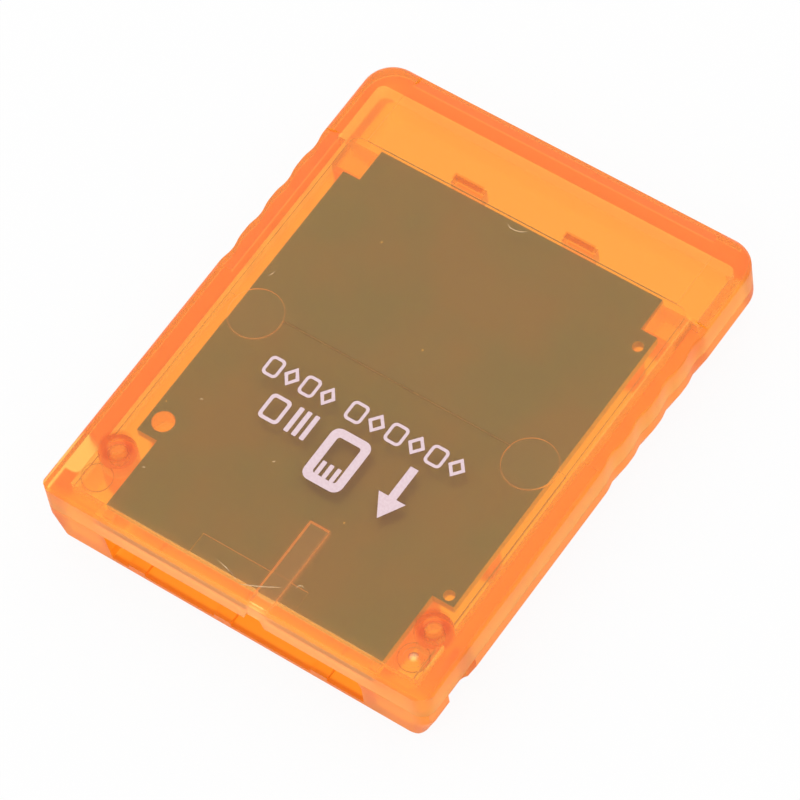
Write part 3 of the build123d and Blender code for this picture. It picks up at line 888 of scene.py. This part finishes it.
mark_shapes = []
for row_start, row_stop, count in row_parts:
    pitch = (row_stop - row_start) / count
    for index in range(count):
        middle = (row_start + (index + 0.5) * pitch, row_y)
        half = (mark_width_share * pitch, mark_half_height)
        if index % 2:
            inner_half = (half[0] - diamond_strokes[0] * stroke, half[1] - diamond_strokes[1] * stroke)
            outer_loop = diamond_loop(middle, half)
            inner_loop = diamond_loop(middle, inner_half)
        else:
            inner_half = (half[0] - stroke, half[1] - stroke)
            outer_loop = rounded_loop(middle, half, mark_corner)
            inner_loop = rounded_loop(middle, inner_half, mark_inner_corner)
        mark_shapes.append(ring_band(outer_loop, inner_loop))
label_piece("print_row", mark_shapes, ink)
print("marks in the row", len(mark_shapes))

# %% [markdown]
# The largest sign is a card with three contacts at its front end, a bold frame with three short ticks
# in it.

# %% card sign
bold = 0.85 * mm
sign_top = -8.0 * mm
sign_foot = -13.9 * mm
sign_middle = (sign_top + sign_foot) / 2
sign_half = (sign_top - sign_foot) / 2
card_middle = (0.5 * mm, sign_middle)
card_half = (2.1 * mm, sign_half)
card_inner = (card_half[0] - bold, card_half[1] - bold)
card_corner = 0.9 * mm
card_inner_corner = 0.3 * mm
tick_half = (0.22 * mm, 0.75 * mm)
tick_pitch = 0.8 * mm
tick_corner = 0.1 * mm

card_outer_loop = rounded_loop(card_middle, card_half, card_corner)
card_shapes = [ring_band(card_outer_loop, rounded_loop(card_middle, card_inner, card_inner_corner))]
for column in (-1, 0, 1):
    tick_middle = (card_middle[0] + column * tick_pitch, sign_foot + bold + tick_half[1])
    card_shapes.append(plate(rounded_loop(tick_middle, tick_half, tick_corner)))
label_piece("print_card_sign", card_shapes, ink)
print("card sign from", len(card_shapes), "shapes")

# %% [markdown]
# An arrow beside it shows which end goes in first. One loop of seven points is enough for it.

# %% arrow
arrow_x = 6.9 * mm
head_y = sign_foot + 2.4 * mm
head_half_width = 1.45 * mm
arrow_loop = [
    (arrow_x + 0.5 * bold, sign_top),
    (arrow_x - 0.5 * bold, sign_top),
    (arrow_x - 0.5 * bold, head_y),
    (arrow_x - head_half_width, head_y),
    (arrow_x, sign_foot),
    (arrow_x + head_half_width, head_y),
    (arrow_x + 0.5 * bold, head_y),
]
label_piece("print_arrow", [plate(arrow_loop)], ink)
print("arrow in mm long", round((sign_top - sign_foot) / mm, 2))

# %% [markdown]
# A small frame and three bars stand at the other side of the card sign, in a lighter stroke.

# %% small signs
small_y = -9.5 * mm
small_half = 1.4 * mm
small_stroke = 0.36 * mm
frame_middle = (-7.3 * mm, small_y)
frame_half = (1.1 * mm, small_half)
frame_inner_half = (frame_half[0] - small_stroke, frame_half[1] - small_stroke)
bars_x = -4.35 * mm
bar_pitch = 0.85 * mm
bar_half = (0.24 * mm, small_half)
bar_corner = 0.1 * mm

frame_outer = rounded_loop(frame_middle, frame_half, mark_corner)
frame_inner = rounded_loop(frame_middle, frame_inner_half, mark_inner_corner)
small_shapes = [ring_band(frame_outer, frame_inner)]
for bar in (-1, 0, 1):
    bar_middle = (bars_x + bar * bar_pitch, small_y)
    small_shapes.append(plate(rounded_loop(bar_middle, bar_half, bar_corner)))
label_piece("print_small_signs", small_shapes, ink)
print("small signs from", len(small_shapes), "shapes")

# %% [markdown]
# The label face shows its use: a few hair scratches near the key groove and some tiny curled nicks. A
# scratch is too fine to cut into the solid, so each one is a thin plate that tapers to both ends, in
# plastic that has turned pale where it was scraped.

# %% hair scratches
scratch_width = 0.09 * mm
scrape_grain = 8000.0
scraped_tones = ((0.62, 0.40, 0.20), (0.85, 0.62, 0.38))

scraped, tree, output = new_material("scraped_plastic")
grain = use_group(tree, grain_group, Scale=scrape_grain)
shader = add_node(
    tree,
    "ShaderNodeBsdfPrincipled",
    Base_Color=blend(tree, grain.outputs["Mask"], *scraped_tones),
    Roughness=0.6,
)
tree.links.new(shader.outputs["BSDF"], output.inputs["Surface"])


def scratch_loop(path, width):
    """A thin outline along a path, pointed at both ends."""
    left, right = [path[0]], []
    for before, here, after in zip(path, path[1:], path[2:]):
        run = Vector((after[0] - before[0], after[1] - before[1])).normalized()
        aside = Vector((-run.y, run.x)) * width / 2
        left.append((here[0] + aside.x, here[1] + aside.y))
        right.append((here[0] - aside.x, here[1] - aside.y))
    return [path[-1], *reversed(left[1:]), path[0], *right]


scratch_paths = {
    "long_scratch": ((0.2, -25.8), (1.2, -25.35), (2.2, -24.9), (3.0, -24.45), (3.85, -24.0)),
    "short_scratch": ((-1.6, -24.9), (-0.9, -25.15), (0.05, -25.55)),
    "fan_scratch": ((-2.85, -24.7), (-1.4, -25.0), (0.05, -25.5)),
    "groove_nick": ((4.9, -23.5), (4.95, -23.1), (5.2, -22.95), (5.5, -23.0)),
    "left_nick": ((-13.7, -12.3), (-13.55, -12.1), (-13.3, -12.05)),
    "middle_nick": ((-4.4, -14.1), (-4.2, -14.0), (-4.1, -13.8)),
    "corner_nick": ((-14.0, -20.7), (-13.85, -20.55), (-13.6, -20.5)),
    "side_nick": ((-16.0, 1.6), (-15.82, 1.95), (-15.7, 2.4)),
    "rear_nick": ((-0.6, 17.6), (-0.1, 17.3), (0.55, 17.3), (1.1, 17.5), (1.5, 17.8)),
}
for name, path in scratch_paths.items():
    loop = scratch_loop([(x * mm, y * mm) for x, y in path], scratch_width)
    label_piece(name, [plate(loop)], scraped)
print("scratches on the label", len(scratch_paths))

# %% [markdown]
# The card lies on white paper in a white light tent, so the light comes evenly from all sides and the
# ground is white. Plain white paint would turn grey in the card's shade. So the floor shows a white
# of its own to the camera, to reflections and through the plastic, mixed with a little paint that
# keeps the card's shadow.

# %% floor
reach = 3.0
drop = -0.05 * mm
own_white_share = 0.92
paper = (0.95, 0.95, 0.95, 1.0)
pure_white = (1.0, 1.0, 1.0, 1.0)
paint_socket = 1
white_socket = 2

floor_mesh = bpy.data.meshes.new("studio_floor")
corners = [(-reach, -reach, drop), (reach, -reach, drop), (reach, reach, drop), (-reach, reach, drop)]
floor_mesh.from_pydata(corners, [], [(0, 1, 2, 3)])
floor = bpy.data.objects.new("studio_floor", floor_mesh)
scene.collection.objects.link(floor)
floor_paint, tree, output = new_material("studio_white")
paint = add_node(tree, "ShaderNodeBsdfDiffuse", Color=paper)
white = add_node(tree, "ShaderNodeEmission", Color=pure_white, Strength=1.0)
rays = add_node(tree, "ShaderNodeLightPath")
shown = [rays.outputs[name] for name in ("Is Camera Ray", "Is Glossy Ray", "Is Transmission Ray")]
share = math_node(tree, "MULTIPLY", strongest(tree, shown), own_white_share)
cover = add_node(tree, "ShaderNodeMixShader", Fac=share)
tree.links.new(paint.outputs["BSDF"], cover.inputs[paint_socket])
tree.links.new(white.outputs["Emission"], cover.inputs[white_socket])
tree.links.new(cover.outputs["Shader"], output.inputs["Surface"])
floor_mesh.materials.append(floor_paint)
print("floor of", 2 * reach, "metres a side")

# %% [markdown]
# Lamps could light the tent's walls from outside. An even white world gives the same soft light with
# less noise.

# %% light tent
world = bpy.data.worlds.new("white_tent")
world.use_nodes = True
background = world.node_tree.nodes["Background"]
background.inputs["Color"].default_value = pure_white
background.inputs["Strength"].default_value = 1.0
scene.world = world
print("tent strength", background.inputs["Strength"].default_value)
